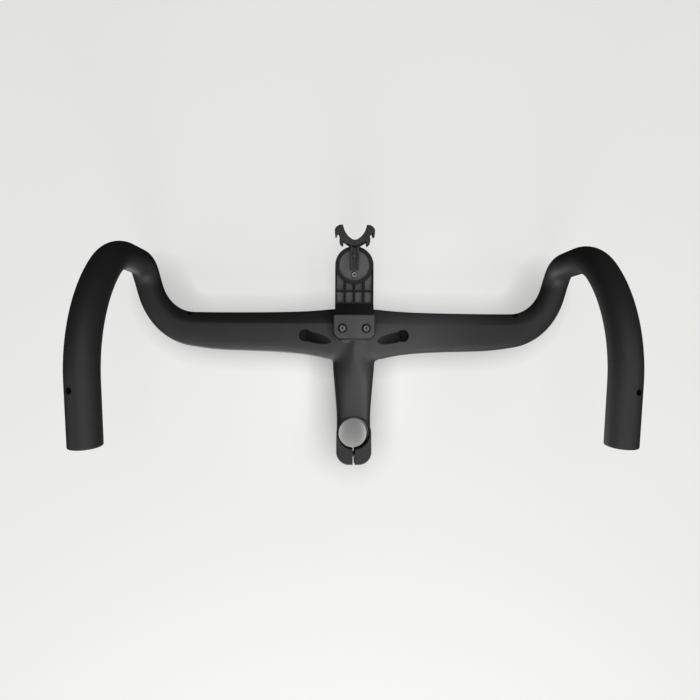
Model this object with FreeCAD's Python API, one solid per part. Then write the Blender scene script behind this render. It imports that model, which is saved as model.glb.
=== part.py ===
import FreeCAD, Part
import math
import os
from FreeCAD import Vector

# One-piece handlebar and stem with a computer mount, millimetres.
# The finished part stands with the steerer axis along Z, forward along Y and the bar across X.
# The bar, its mount and the cradle are first made with the tops level, then leaned by STEM_DROP.

# Steerer clamp
STEERER = 28.6            # diameter of the steerer tube that is gripped
CLAMP_HEIGHT = 44.0       # along the steerer
CLAMP_WALL = 2.2          # wall beside the bore
CLAMP_CORNER = 12.0       # plan radius of the two rear corners
CLAMP_EDGE = 1.4          # soft edge round the clamp's flat ends
SLOT_WIDTH = 2.2          # pinch slot through the rear wall
SEAT_BEVEL = 1.2          # bevel round the lower mouth of the steerer bore
STEM_DROP = 10.0          # degrees that the stem falls from square to the steerer

# Pinch bolts and their nuts, across the slot
BOLT_SETBACK = 5.7        # from the bore's wall back to the bolt axes
END_WALL = 9.3            # from the bolt axes back to the end face
BOLT_INSET = 11.0         # from the clamp's flat ends in to the bolt axes
BOLT_SHANK = 5.0
BOLT_HEAD = 8.5
BOLT_HEAD_HEIGHT = 5.0
BOLT_SEAT = 8.0           # head seat, out from the middle plane
NUT_SEAT = 7.0            # nut face, out from the middle plane on the other side
NUT_ROUND = 8.0
NUT_LENGTH = 7.0
HOLE_PLAY = 0.25          # radial room round shanks, heads and nuts
THREAD_PLAY = 0.05        # radial room where a thread holds
KEY_SHARE = 0.5           # hexagon key size over the head diameter
KEY_DEEP = 0.6            # depth of the hexagon over the head height

# Bar, tops level, forward positions measured from the steerer axis
BAR_WIDTH = 399.0         # between the centres of the two drops
TOPS_FORWARD = 108.2      # lower crease of the tops
TOPS_LEVEL = -3.0         # mid height of the tops
TOPS_LEAD = 9.8           # crease to front edge
TOPS_LEAD_MIDDLE = 13.4   # the same beside the stem
TOPS_TRAIL = 27.0         # crease to rear edge
TOPS_TRAIL_MIDDLE = 37.0  # the same beside the stem
TOPS_HALF_DEPTH = 11.0    # half the thickness of the tops
TOPS_MIDDLE_RISE = 2.5    # extra height over the stem
TAPER_RUN = 28.0          # run over which the middle swelling fades
TOPS_POWERS = (2.2, 2.0, 2.9, 1.6)  # roundness of the tops: front top, rear top, rear bottom, front bottom
BEND_START = 155.0        # where the bar turns forward, from the middle plane
GRIP = 23.8               # outer diameter of ramps and drops
REACH_FRONT = 162.7       # foremost centre of the hook
BEND_SHY = 7.0            # the turn ends this far behind it
ROUND_RUN = 63.0          # run past the start of the turn by which the section is round
HOOK_UPPER = 22.5         # radius over the ramp
HOOK_DEPTH = 45.0         # below the tops where the lower hook starts
HOOK_FRONT = 54.0         # radius of the hook's front part
HOOK_FRONT_TURN = 45.0    # degrees
HOOK_REAR = 111.0         # radius of the long rear part
DROP_TURN = 95.5          # degrees turned from straight down at the drop's end
DROP_END = 10.6           # end of the drop, forward of the steerer axis
WALL = 2.4                # laminate thickness
PLUG_BORE = 20.0          # bore for the end plug
PLUG_DEPTH = 26.0
LAP = 0.6                 # the bend's skin runs this far into the ramp's tube
LAP_STEP = 0.15           # and is this much smaller there
HOLLOW_LEAD = 3.0         # the drop's hollow starts this far back in the bend
TOPS_STRAIGHT = 0.8       # share of the run to the bend that keeps the flat section

# Stem body
NECK_WIDTH_FRONT = 41.5   # where it meets the bar
NECK_WALL = 5.0           # laminate in front of the steerer bore
NECK_SHY = 0.3            # the stem's skin lies this far inside the clamp's flat ends
KEEL = 2.0                # how far the keel stands below the bar's underside
CLAMP_POWER = 5.0         # squareness of the stem's underside at the clamp
KEEL_POWER = 1.6          # roundness of the keel
NECK_POWER = 3.4          # squareness of the top

# Hose ports, hose entries and bar-end holes
PORT_ROUND = 10.0
PORT_OUT = 38.0           # where the port's axis meets the underside, out from the middle plane
PORT_SETBACK = 16.0       # port axis behind the crease
PORT_TILT = 19.0          # degrees between the port's bore and the underside
HOSE_WAY = 10.0           # round way from the hollow to the hose entry
ENTRY_ROUND = 5.6
ENTRY_PAST = 3.0          # entry past the start of the bend
ENTRY_TILT = 35.0         # degrees below straight ahead
TAIL_HOLE = 5.3
TAIL_HOLE_BACK = 43.0     # from the drop's end
TAIL_HOLE_TURN = 20.0     # degrees from straight down towards the outside

# Computer mount under the bar: foot, rising arm with pockets, round head
MOUNT_WIDTH = 36.8        # arm and round head
PAD_STAND = 1.0           # seat moulded under the bar, below the keel
FOOT_LENGTH = 22.6
FOOT_WIDTH = 39.6
FOOT_SETBACK = 16.2       # rear edge of the foot behind the crease
FOOT_THICK = 5.0
FOOT_CORNER = 10.0
FOOT_RIDGE = 11.6         # width of the keel that runs on through the foot
FOOT_RIDGE_HIGH = 1.2
MOUNT_PITCH = 22.5        # between the two mount bolts
MOUNT_FORWARD = 10.5      # bolts ahead of the foot's rear edge
MOUNT_BOLT = 4.0
MOUNT_BOLT_LENGTH = 8.0
MOUNT_HEAD = 7.0
MOUNT_HEAD_HEIGHT = 3.0
MOUNT_BORE = 9.0          # counterbore in the foot, as deep as the head is high
SLEEVE_ROUND = 6.2        # threaded sleeve in the bar
SLEEVE_LENGTH = 7.0
SLEEVE_COVER = 1.0        # laminate above the sleeves
ARM_REACH = 48.6          # from the foot's front edge to the centre of the round head
ARM_THICK = 8.0
ARM_SKIN = 4.6            # web above the pockets
ARM_RIB = 1.0             # at the underside
RIB_DRAFT = 0.6           # each rib widens by this on both sides up to the web
ARM_RISE = 8.5            # the arm's underside above the foot's
ARM_SLOPE = 12.0          # run of the rise
POCKET_COLUMNS = 4
POCKET_LONG = 10.8        # pockets of the first row
RIM_WALL = 2.9            # ring round the insert
HEAD_SEAT = 29.8          # recess for the quarter-turn insert
HEAD_FLOOR = 2.6
HEAD_RECESS = 1.2         # underside of the floor above the rim

# Quarter-turn insert and its screws
INSERT_HIGH = 9.0
INSERT_PLAY = 0.1
LOCK_BORE = 19.0          # socket for a computer's lug
LOCK_DEEP = 4.6
LOCK_WING = 26.0          # across the two openings for the lug's wings
LOCK_WING_WIDTH = 9.0
SCREW_PITCH = 17.8
SCREW_SHANK = 2.5
SCREW_HEAD = 5.0
SCREW_HEAD_HEIGHT = 1.6
SCREW_LENGTH = 6.8

# Strap cradle under the head
CRADLE_DEEP = 11.0        # height of the saddle
POST_WIDTH = 8.2
POST_THICK = 1.4
POST_RIB = 2.4
POST_RIB_DEEP = 4.0
POST_BACK = 4.1           # the post starts this far behind the head's centre
BOSS_ROUND = 6.4
SADDLE_AHEAD = 34.0       # from the head's centre to the centre of the saddle's arc
SADDLE_ROUND = 24.0       # tube or lamp that the saddle carries
# one side of the saddle's inner curve from the tip to the bottom: in from the tube's side, ahead of its centre
SADDLE_INNER = ((0.8, 2.0), (3.2, -5.0), (6.7, -9.4))
# one side of its outline from the arm's tip back to the post: out from the tube's side, ahead of its centre
SADDLE_SIDE = ((2.5, 1.8), (5.2, 0.2), (6.9, -2.3), (6.6, -7.8), (5.2, -8.2), (4.2, -5.2), (3.4, -4.9),
               (2.0, -8.8), (2.5, -11.6), (2.2, -14.2), (-0.4, -16.8), (-1.2, -15.6), (-1.2, -13.0))

SECTION_POINTS = 24       # control points round a section
BEND_STEPS = 14           # sections in each bend

# Places that follow from the sizes above
CLAMP_WIDTH = STEERER + 2.0 * CLAMP_WALL
BOLT_BACK = STEERER / 2.0 + BOLT_SETBACK
CLAMP_REAR = BOLT_BACK + END_WALL
BOLT_PITCH = CLAMP_HEIGHT - 2.0 * BOLT_INSET
BEND_FORWARD = REACH_FRONT - BEND_SHY - TOPS_FORWARD
BAR_UNDER = TOPS_LEVEL - TOPS_HALF_DEPTH
PAD_LEVEL = BAR_UNDER - KEEL - PAD_STAND
FOOT_BACK = TOPS_FORWARD - FOOT_SETBACK
FOOT_FRONT = FOOT_BACK + FOOT_LENGTH
HEAD_FORWARD = FOOT_FRONT + ARM_REACH
SADDLE_FORWARD = HEAD_FORWARD + SADDLE_AHEAD


def smooth(value, start, end):
    share = min(max((value - start) / (end - start), 0.0), 1.0)
    return share * share * (3.0 - 2.0 * share)


def lean(shape):
    # from level tops to the steerer upright
    turned = shape.copy()
    turned.rotate(Vector(0, 0, 0), Vector(1, 0, 0), -STEM_DROP)
    return turned


def mirrored(shape):
    return shape.mirror(Vector(0, 0, 0), Vector(1, 0, 0))


def rod(diameter, start, direction, length):
    return Part.makeCylinder(diameter / 2.0, length, start, direction)


def round_curve(centre, axis, across, radius):
    circle = Part.Circle(centre, axis, radius)
    circle.XAxis = across
    return Part.Wire([circle.toShape()])


def skinned(rings):
    # solid under one smooth cubic skin: the rings are its control rows, closed round and clamped at both ends
    around = len(rings[0])
    swell = 3.0 / (2.0 + math.cos(2.0 * math.pi / around))
    rows = []
    for ring in rings:
        centre = Vector(0, 0, 0)
        for point in ring:
            centre = centre + point * (1.0 / around)
        rows.append([centre + (point - centre) * swell for point in ring])
    poles = [[row[i] for row in rows] for i in range(around)]
    along = len(rings) - 2
    skin = Part.BSplineSurface()
    skin.buildFromPolesMultsKnots(poles, [1] * (around + 1), [4] + [1] * (along - 2) + [4],
                                  list(range(around + 1)), list(range(along)), True, False, 3, 3)
    side = skin.toShape()
    rims = [edge for edge in side.Edges if edge.isClosed()]
    shell = Part.makeShell([side] + [Part.Face(Part.Wire([rim])) for rim in rims])
    shell.sewShape()
    solid = Part.makeSolid(shell)
    if solid.Volume < 0.0:
        solid.reverse()
    return solid


def oval(front, rear, top, bottom, powers):
    # four quarter ovals in one outline, powers: front top, rear top, rear bottom, front bottom
    outline = []
    for i in range(SECTION_POINTS):
        angle = 2.0 * math.pi * i / SECTION_POINTS
        along = math.cos(angle)
        upward = math.sin(angle)
        power = 2.0 / powers[4 * i // SECTION_POINTS]
        reach = front if along >= 0.0 else rear
        height = top if upward >= 0.0 else bottom
        a = reach * math.copysign(abs(along) ** power, along)
        b = height * math.copysign(abs(upward) ** power, upward)
        outline.append((a, b))
    return outline


def hook_slope(forward):
    # angle below level at which the ramp runs into the hook
    run = forward - (REACH_FRONT - HOOK_UPPER)
    return math.asin(min(max(run / HOOK_UPPER, 0.0), 1.0))


def tops_line():
    # crease line from the middle plane out and round the bend, with its direction at each point
    line = []
    for share in (0.0, 0.07, 0.13, 0.19, 0.26, 0.36, 0.5, 0.7, 0.85, 1.0):
        point = Vector(share * BEND_START, TOPS_FORWARD, TOPS_LEVEL)
        line.append((point, Vector(1, 0, 0)))
    side = BAR_WIDTH / 2.0 - BEND_START
    for i in range(1, BEND_STEPS + 1):
        angle = math.radians(90.0) * i / BEND_STEPS
        forward = TOPS_FORWARD + BEND_FORWARD * (1.0 - math.cos(angle))
        slope = hook_slope(forward)
        fall = HOOK_UPPER * (1.0 - math.cos(slope))
        point = Vector(BEND_START + side * math.sin(angle), forward, TOPS_LEVEL - fall)
        outward = side * math.cos(angle)
        ahead = BEND_FORWARD * math.sin(angle)
        direction = Vector(outward, ahead, -ahead * math.tan(slope)).normalize()
        line.append((point, direction))
    return line


def tops_body():
    # tops and both bends; the last ring runs a little way into the ramp's tube
    half = []
    across = Vector(0, 1, 0)
    upward = Vector(0, 0, 1)
    previous = Vector(1, 0, 0)
    grip = GRIP / 2.0 - LAP_STEP
    run = 0.0
    line = tops_line()
    end, ahead = line[-1]
    line.append((end + ahead * LAP, ahead))
    for i in range(len(line)):
        point, direction = line[i]
        if i > 0:
            run = run + (point - line[i - 1][0]).Length
            turn = FreeCAD.Rotation(previous, direction)
            across = turn.multVec(across)
            upward = turn.multVec(upward)
            previous = direction
        to_round = smooth(run, TOPS_STRAIGHT * BEND_START, BEND_START + ROUND_RUN)
        swell = math.exp(-max(run - NECK_WIDTH_FRONT / 2.0, 0.0) / TAPER_RUN)
        front = TOPS_LEAD + (TOPS_LEAD_MIDDLE - TOPS_LEAD) * swell
        rear = TOPS_TRAIL + (TOPS_TRAIL_MIDDLE - TOPS_TRAIL) * swell
        top = TOPS_HALF_DEPTH + TOPS_MIDDLE_RISE * swell
        sizes = [size + (grip - size) * to_round for size in (front, rear, top, TOPS_HALF_DEPTH)]
        powers = [power + (2.0 - power) * to_round for power in TOPS_POWERS]
        outline = oval(sizes[0], sizes[1], sizes[2], sizes[3], powers)
        half.append([point + across * a + upward * b for a, b in outline])
    left = [[Vector(-p.x, p.y, p.z) for p in ring] for ring in half[1:]]
    left.reverse()
    return skinned(left + half)


def tops_hollow():
    # straight hollow for the hoses, the tops' own outline set in by the wall
    reach = TOPS_STRAIGHT * BEND_START
    height = TOPS_HALF_DEPTH - WALL
    outline = oval(TOPS_LEAD - WALL, TOPS_TRAIL - WALL, height, height, TOPS_POWERS)
    points = [Vector(-reach, TOPS_FORWARD + a, TOPS_LEVEL + b) for a, b in outline]
    curve = Part.BSplineCurve()
    curve.interpolate(Points=points, PeriodicFlag=True)
    return Part.Face(Part.Wire([curve.toShape()])).extrude(Vector(2.0 * reach, 0, 0))


def hook_line(lead, overrun):
    # ramp, hook and drop in one upright plane: tangent arcs and straights
    half = BAR_WIDTH / 2.0
    start, ahead = tops_line()[-1]
    slope = hook_slope(start.y)
    upper_centre = Vector(half, REACH_FRONT - HOOK_UPPER, TOPS_LEVEL - HOOK_UPPER)
    half_way = (slope + math.radians(90.0)) / 2.0
    upper_bow = upper_centre + Vector(0, math.sin(half_way), math.cos(half_way)) * HOOK_UPPER
    foremost = upper_centre + Vector(0, HOOK_UPPER, 0)
    straight_end = Vector(half, REACH_FRONT, TOPS_LEVEL - HOOK_DEPTH)
    turn = math.radians(HOOK_FRONT_TURN)
    front_centre = straight_end - Vector(0, HOOK_FRONT, 0)
    front_bow = front_centre + Vector(0, math.cos(turn / 2.0), -math.sin(turn / 2.0)) * HOOK_FRONT
    front_end = front_centre + Vector(0, math.cos(turn), -math.sin(turn)) * HOOK_FRONT
    last = math.radians(DROP_TURN)
    rear_centre = front_end - Vector(0, math.cos(turn), -math.sin(turn)) * HOOK_REAR
    middle = (turn + last) / 2.0
    rear_bow = rear_centre + Vector(0, math.cos(middle), -math.sin(middle)) * HOOK_REAR
    rear_end = rear_centre + Vector(0, math.cos(last), -math.sin(last)) * HOOK_REAR
    tail = Vector(0, -math.sin(last), -math.cos(last))
    tail_end = rear_end + tail * ((rear_end.y - DROP_END) / math.sin(last))
    edges = [Part.Arc(start, upper_bow, foremost).toShape(),
             Part.LineSegment(foremost, straight_end).toShape(),
             Part.Arc(straight_end, front_bow, front_end).toShape(),
             Part.Arc(front_end, rear_bow, rear_end).toShape(),
             Part.LineSegment(rear_end, tail_end + tail * overrun).toShape()]
    if lead > 0.0:
        edges.insert(0, Part.LineSegment(start - ahead * lead, start).toShape())
    return Part.Wire(edges), tail_end, tail


def hook_half(skin, lead, overrun):
    path = hook_line(lead, overrun)[0]
    start, direction = tops_line()[-1]
    section = round_curve(start - direction * lead, direction, Vector(-1, 0, 0), GRIP / 2.0 - skin)
    return path.makePipeShell([section], True, True)


def neck_body():
    # stem skinned from inside the clamp to inside the bar
    drop = math.radians(STEM_DROP)
    rear_edge = TOPS_FORWARD - TOPS_TRAIL_MIDDLE
    bar_top = TOPS_LEVEL + TOPS_HALF_DEPTH + TOPS_MIDDLE_RISE
    clamp_front = STEERER / 2.0 + NECK_WALL
    half = CLAMP_HEIGHT / 2.0 - NECK_SHY
    flat = (0.0, half, -half, CLAMP_WIDTH - 2.0 * NECK_SHY, CLAMP_POWER)
    # each row: forward, tilt, top, bottom, width, roundness below
    rows = []
    for share in (-0.3, -0.1, 0.3, 0.6, 1.0):
        rows.append((share * clamp_front,) + flat)
    start = clamp_front
    joint_forward = rear_edge * math.cos(drop)
    joint_top = bar_top * math.cos(drop) - rear_edge * math.sin(drop)
    joint_under = (BAR_UNDER - KEEL) * math.cos(drop) - rear_edge * math.sin(drop)
    for share in (0.35, 0.6, 0.8, 1.0):
        forward = start + (joint_forward - start) * share
        ease = smooth(share, 0.0, 1.1)
        top = half + (joint_top - half) * ease
        under = -half + (joint_under + half) * ease
        width = flat[3] + (NECK_WIDTH_FRONT - flat[3]) * share
        power = CLAMP_POWER + (KEEL_POWER - CLAMP_POWER) * share
        rows.append((forward, share * drop, top, under, width, power))
    # the last rows dive into the bar
    ahead = Vector(0, math.cos(drop), -math.sin(drop))
    last = rows[-1]
    for step in (0.35, 0.7):
        run = step * TOPS_TRAIL_MIDDLE
        rows.append((last[0] + run * ahead.y, drop, last[2] + run * ahead.z - 2.0 * step,
                     last[3] + run * ahead.z, NECK_WIDTH_FRONT, KEEL_POWER))
    rings = []
    for forward, tilt, top, under, width, power in rows:
        upward = Vector(0, math.sin(tilt), math.cos(tilt))
        middle = Vector(0, forward, (top + under) / 2.0)
        depth = (top - under) / 2.0
        outline = oval(width / 2.0, width / 2.0, depth, depth, (NECK_POWER, NECK_POWER, power, power))
        rings.append([middle + Vector(1, 0, 0) * a + upward * b for a, b in outline])
    return skinned(rings)


def clamp_block():
    # upright block round the steerer: half round in front, rounded corners behind, soft edges
    half = CLAMP_WIDTH / 2.0
    level = -CLAMP_HEIGHT / 2.0
    bow = CLAMP_CORNER * (1.0 - math.sqrt(0.5))
    turn = CLAMP_CORNER - CLAMP_REAR
    end = half - CLAMP_CORNER
    points = [Vector(half, 0, level), Vector(half, turn, level), Vector(end, -CLAMP_REAR, level),
              Vector(-end, -CLAMP_REAR, level), Vector(-half, turn, level), Vector(-half, 0, level)]
    edges = [Part.LineSegment(points[0], points[1]).toShape(),
             Part.Arc(points[1], Vector(half - bow, bow - CLAMP_REAR, level), points[2]).toShape(),
             Part.LineSegment(points[2], points[3]).toShape(),
             Part.Arc(points[3], Vector(bow - half, bow - CLAMP_REAR, level), points[4]).toShape(),
             Part.LineSegment(points[4], points[5]).toShape(),
             Part.Arc(points[5], Vector(0, half, level), points[0]).toShape()]
    block = Part.Face(Part.Wire(edges)).extrude(Vector(0, 0, CLAMP_HEIGHT))
    rims = [edge for edge in block.Edges if abs(abs(edge.CenterOfMass.z) - CLAMP_HEIGHT / 2.0) < 0.001]
    return block.makeFillet(CLAMP_EDGE, rims)


def clamp_cuts():
    # steerer bore with its bevelled lower mouth, pinch slot, bolt and nut seats
    half = CLAMP_HEIGHT / 2.0
    up = Vector(0, 0, 1)
    across = Vector(1, 0, 0)
    cuts = [rod(STEERER, Vector(0, 0, -CLAMP_HEIGHT), up, 2.0 * CLAMP_HEIGHT)]
    cuts.append(Part.makeCone(STEERER / 2.0 + SEAT_BEVEL, STEERER / 2.0, SEAT_BEVEL, Vector(0, 0, -half), up))
    slot_start = Vector(-SLOT_WIDTH / 2.0, -2.0 * CLAMP_REAR, -CLAMP_HEIGHT)
    cuts.append(Part.makeBox(SLOT_WIDTH, 2.0 * CLAMP_REAR, 2.0 * CLAMP_HEIGHT, slot_start))
    for level in (-BOLT_PITCH / 2.0, BOLT_PITCH / 2.0):
        nut_face = Vector(-NUT_SEAT, -BOLT_BACK, level)
        head_face = Vector(BOLT_SEAT, -BOLT_BACK, level)
        cuts.append(rod(BOLT_SHANK + 2.0 * HOLE_PLAY, nut_face, across, NUT_SEAT + BOLT_SEAT))
        cuts.append(rod(BOLT_HEAD + 2.0 * HOLE_PLAY, head_face, across, CLAMP_WIDTH))
        cuts.append(rod(NUT_ROUND + 2.0 * HOLE_PLAY, nut_face, -across, CLAMP_WIDTH))
    return cuts


def hose_cuts():
    # slanted ports beside the stem, ways through the tops' ends and entries at the front
    tilt = math.radians(PORT_TILT)
    slant = Vector(math.cos(tilt), 0, math.sin(tilt))
    radius = PORT_ROUND / 2.0
    mouth = Vector(PORT_OUT, TOPS_FORWARD - PORT_SETBACK, BAR_UNDER)
    before = radius / math.tan(tilt) + 0.5 * radius
    after = (WALL + radius * math.cos(tilt)) / math.sin(tilt)
    port = rod(PORT_ROUND, mouth - slant * before, slant, before + after)
    way_forward = TOPS_FORWARD + TOPS_LEAD - WALL - HOSE_WAY / 2.0
    way_start = Vector(0.9 * TOPS_STRAIGHT * BEND_START, way_forward, TOPS_LEVEL)
    entry_out = BEND_START + ENTRY_PAST
    way = rod(HOSE_WAY, way_start, Vector(1, 0, 0), entry_out + ENTRY_ROUND - way_start.x)
    dip = math.radians(ENTRY_TILT)
    entry_start = Vector(entry_out, way_forward, TOPS_LEVEL)
    ahead = Vector(0, math.cos(dip), -math.sin(dip))
    entry = rod(ENTRY_ROUND, entry_start, ahead, 2.0 * TOPS_HALF_DEPTH)
    return [port, mirrored(port), way, mirrored(way), entry, mirrored(entry)]


def drop_cuts():
    # hollow of ramps and drops, seat for the end plug and the small hole before it
    end, tail = hook_line(0.0, 0.0)[1:]
    hollow = hook_half(WALL, HOLLOW_LEAD, LAP)
    plug = rod(PLUG_BORE, end - tail * PLUG_DEPTH, tail, 2.0 * PLUG_DEPTH)
    turn = math.radians(TAIL_HOLE_TURN)
    down = Vector(0, -tail.z, tail.y)
    side = down * math.cos(turn) + Vector(1, 0, 0) * math.sin(turn)
    hole = rod(TAIL_HOLE, end - tail * TAIL_HOLE_BACK, side, GRIP)
    return [hollow, mirrored(hollow), plug, mirrored(plug), hole, mirrored(hole)]


def foot_plan(level, height):
    # plan of the foot: square to the front, round corners at the rear
    half = FOOT_WIDTH / 2.0
    bow = FOOT_CORNER * (1.0 - math.sqrt(0.5))
    points = [Vector(half, FOOT_FRONT, level), Vector(half, FOOT_BACK + FOOT_CORNER, level),
              Vector(half - FOOT_CORNER, FOOT_BACK, level), Vector(FOOT_CORNER - half, FOOT_BACK, level),
              Vector(-half, FOOT_BACK + FOOT_CORNER, level), Vector(-half, FOOT_FRONT, level)]
    edges = [Part.LineSegment(points[0], points[1]).toShape(),
             Part.Arc(points[1], Vector(half - bow, FOOT_BACK + bow, level), points[2]).toShape(),
             Part.LineSegment(points[2], points[3]).toShape(),
             Part.Arc(points[3], Vector(bow - half, FOOT_BACK + bow, level), points[4]).toShape(),
             Part.LineSegment(points[4], points[5]).toShape(),
             Part.LineSegment(points[5], points[0]).toShape()]
    return Part.Face(Part.Wire(edges)).extrude(Vector(0, 0, height))


def mount_places(level):
    forward = FOOT_BACK + MOUNT_FORWARD
    return [Vector(-MOUNT_PITCH / 2.0, forward, level), Vector(MOUNT_PITCH / 2.0, forward, level)]


def screw_places(level):
    return [Vector(0, HEAD_FORWARD + side * SCREW_PITCH / 2.0, level) for side in (-1.0, 1.0)]


def flat_solid(points, push):
    return Part.Face(Part.makePolygon(points + [points[0]])).extrude(push)


def pocket(left, back, wide, length, mouth, deep):
    # moulded pocket whose walls close in by RIB_DRAFT towards its floor
    rims = []
    for level, inset in ((mouth, 0.0), (mouth + deep, RIB_DRAFT)):
        right = left + wide - inset
        front = back + length - inset
        corners = [Vector(left + inset, back + inset, level), Vector(right, back + inset, level),
                   Vector(right, front, level), Vector(left + inset, front, level)]
        rims.append(Part.makePolygon(corners + [corners[0]]))
    return Part.makeLoft(rims, True, True)


def key_bolt(shank, length, head, head_height, seat, axis):
    # cap screw: shank runs along the axis from its seat, head behind it with a hexagon recess
    solid = rod(shank, seat, axis, length).fuse(rod(head, seat - axis * head_height, axis, head_height))
    side = axis.cross(Vector(0, 1, 0)).normalize()
    radius = KEY_SHARE * head / math.sqrt(3.0)
    outer = seat - axis * head_height
    corners = [outer + FreeCAD.Rotation(axis, 60.0 * i).multVec(side) * radius for i in range(6)]
    return solid.cut(flat_solid(corners, axis * (KEY_DEEP * head_height)))


up = Vector(0, 0, 1)

# The one-piece bar and stem
hook = hook_half(0.0, 0.0, 0.0)
bar = lean(tops_body().fuse([hook, mirrored(hook)]))
bar_stem = bar.fuse([neck_body(), clamp_block()])
bar_stem = bar_stem.cut([lean(cut) for cut in [tops_hollow()] + drop_cuts()])
bar_stem = bar_stem.fuse(lean(foot_plan(PAD_LEVEL, SLEEVE_LENGTH + SLEEVE_COVER)))
hole = SLEEVE_ROUND + 2.0 * THREAD_PLAY
sleeve_holes = [rod(hole, place, up, SLEEVE_LENGTH) for place in mount_places(PAD_LEVEL)]
bar_stem = bar_stem.cut(clamp_cuts() + [lean(cut) for cut in hose_cuts() + sleeve_holes])

# Pinch bolts and nuts
across = Vector(-1, 0, 0)
clamp_bolts = []
clamp_nuts = []
for level in (-BOLT_PITCH / 2.0, BOLT_PITCH / 2.0):
    seat = Vector(BOLT_SEAT, -BOLT_BACK, level)
    shank = BOLT_SEAT + NUT_SEAT + NUT_LENGTH
    clamp_bolts.append(key_bolt(BOLT_SHANK, shank, BOLT_HEAD, BOLT_HEAD_HEIGHT, seat, across))
    face = Vector(-NUT_SEAT, -BOLT_BACK, level)
    nut = rod(NUT_ROUND, face, across, NUT_LENGTH)
    clamp_nuts.append(nut.cut(rod(BOLT_SHANK + 2.0 * THREAD_PLAY, face, across, NUT_LENGTH)))

# Computer mount
foot_under = PAD_LEVEL - FOOT_THICK
arm_under = foot_under + ARM_RISE
arm_top = arm_under + ARM_THICK
arm_start = FOOT_FRONT + ARM_SLOPE
side = FOOT_WIDTH / 2.0
ridge = FOOT_RIDGE / 2.0
foot_face = [Vector(-side, FOOT_BACK, PAD_LEVEL), Vector(side, FOOT_BACK, PAD_LEVEL),
             Vector(side, FOOT_BACK, foot_under), Vector(ridge, FOOT_BACK, foot_under),
             Vector(0, FOOT_BACK, foot_under - FOOT_RIDGE_HIGH), Vector(-ridge, FOOT_BACK, foot_under),
             Vector(-side, FOOT_BACK, foot_under)]
foot = flat_solid(foot_face, Vector(0, FOOT_LENGTH, 0))
foot = foot.common(foot_plan(foot_under - FOOT_THICK, 2.0 * FOOT_THICK))
half = MOUNT_WIDTH / 2.0
arm_face = [Vector(-half, FOOT_FRONT, PAD_LEVEL), Vector(-half, arm_start, arm_top),
            Vector(-half, HEAD_FORWARD, arm_top), Vector(-half, HEAD_FORWARD, arm_under),
            Vector(-half, arm_start, arm_under), Vector(-half, FOOT_FRONT, foot_under)]
arm = flat_solid(arm_face, Vector(MOUNT_WIDTH, 0, 0))
head = rod(MOUNT_WIDTH, Vector(0, HEAD_FORWARD, arm_under), up, ARM_THICK)
first_row = arm_start + ARM_RIB
second_row = first_row + POCKET_LONG + ARM_RIB
pocket_wide = (MOUNT_WIDTH - (POCKET_COLUMNS + 1) * ARM_RIB) / POCKET_COLUMNS
pockets = []
for back, length in ((first_row, POCKET_LONG), (second_row, HEAD_FORWARD - second_row)):
    for column in range(POCKET_COLUMNS):
        left = -half + ARM_RIB + column * (pocket_wide + ARM_RIB)
        pockets.append(pocket(left, back, pocket_wide, length, arm_under, ARM_THICK - ARM_SKIN))
rim = rod(HEAD_SEAT + 2.0 * RIM_WALL, Vector(0, HEAD_FORWARD, arm_under), up, ARM_THICK)
pocket_field = pockets[0].fuse(pockets[1:]).cut(rim)
floor_under = arm_under + HEAD_RECESS
floor_top = floor_under + HEAD_FLOOR
mount_cuts = [rod(HEAD_SEAT, Vector(0, HEAD_FORWARD, arm_under), up, HEAD_RECESS),
              rod(HEAD_SEAT, Vector(0, HEAD_FORWARD, floor_top), up, ARM_THICK)]
for place in screw_places(floor_under):
    mount_cuts.append(rod(SCREW_SHANK + 2.0 * HOLE_PLAY, place, up, HEAD_FLOOR))
for place in mount_places(foot_under):
    mount_cuts.append(rod(MOUNT_BORE, place - up * FOOT_THICK, up, FOOT_THICK + MOUNT_HEAD_HEIGHT))
    mount_cuts.append(rod(MOUNT_BOLT + 2.0 * HOLE_PLAY, place, up, FOOT_THICK))
mount_arm = foot.fuse([arm, head]).cut([pocket_field] + mount_cuts).removeSplitter()

# Mount bolts and the threaded sleeves in the bar
mount_bolts = []
mount_sleeves = []
for place in mount_places(foot_under + MOUNT_HEAD_HEIGHT):
    mount_bolts.append(key_bolt(MOUNT_BOLT, MOUNT_BOLT_LENGTH, MOUNT_HEAD, MOUNT_HEAD_HEIGHT, place, up))
for place in mount_places(PAD_LEVEL):
    sleeve = rod(SLEEVE_ROUND, place, up, SLEEVE_LENGTH)
    mount_sleeves.append(sleeve.cut(rod(MOUNT_BOLT + 2.0 * THREAD_PLAY, place, up, SLEEVE_LENGTH)))

# Quarter-turn insert with its socket
insert_top = floor_top + INSERT_HIGH
turn_insert = rod(HEAD_SEAT - 2.0 * INSERT_PLAY, Vector(0, HEAD_FORWARD, floor_top), up, INSERT_HIGH)
socket = rod(LOCK_BORE, Vector(0, HEAD_FORWARD, insert_top - LOCK_DEEP), up, LOCK_DEEP)
wing_corner = Vector(-LOCK_WING / 2.0, HEAD_FORWARD - LOCK_WING_WIDTH / 2.0, insert_top - LOCK_DEEP)
wings = Part.makeBox(LOCK_WING, LOCK_WING_WIDTH, LOCK_DEEP, wing_corner)
thread = SCREW_SHANK + 2.0 * THREAD_PLAY
screw_bores = [rod(thread, place, up, SCREW_LENGTH) for place in screw_places(floor_under)]
turn_insert = turn_insert.cut([socket, wings] + screw_bores)

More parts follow.
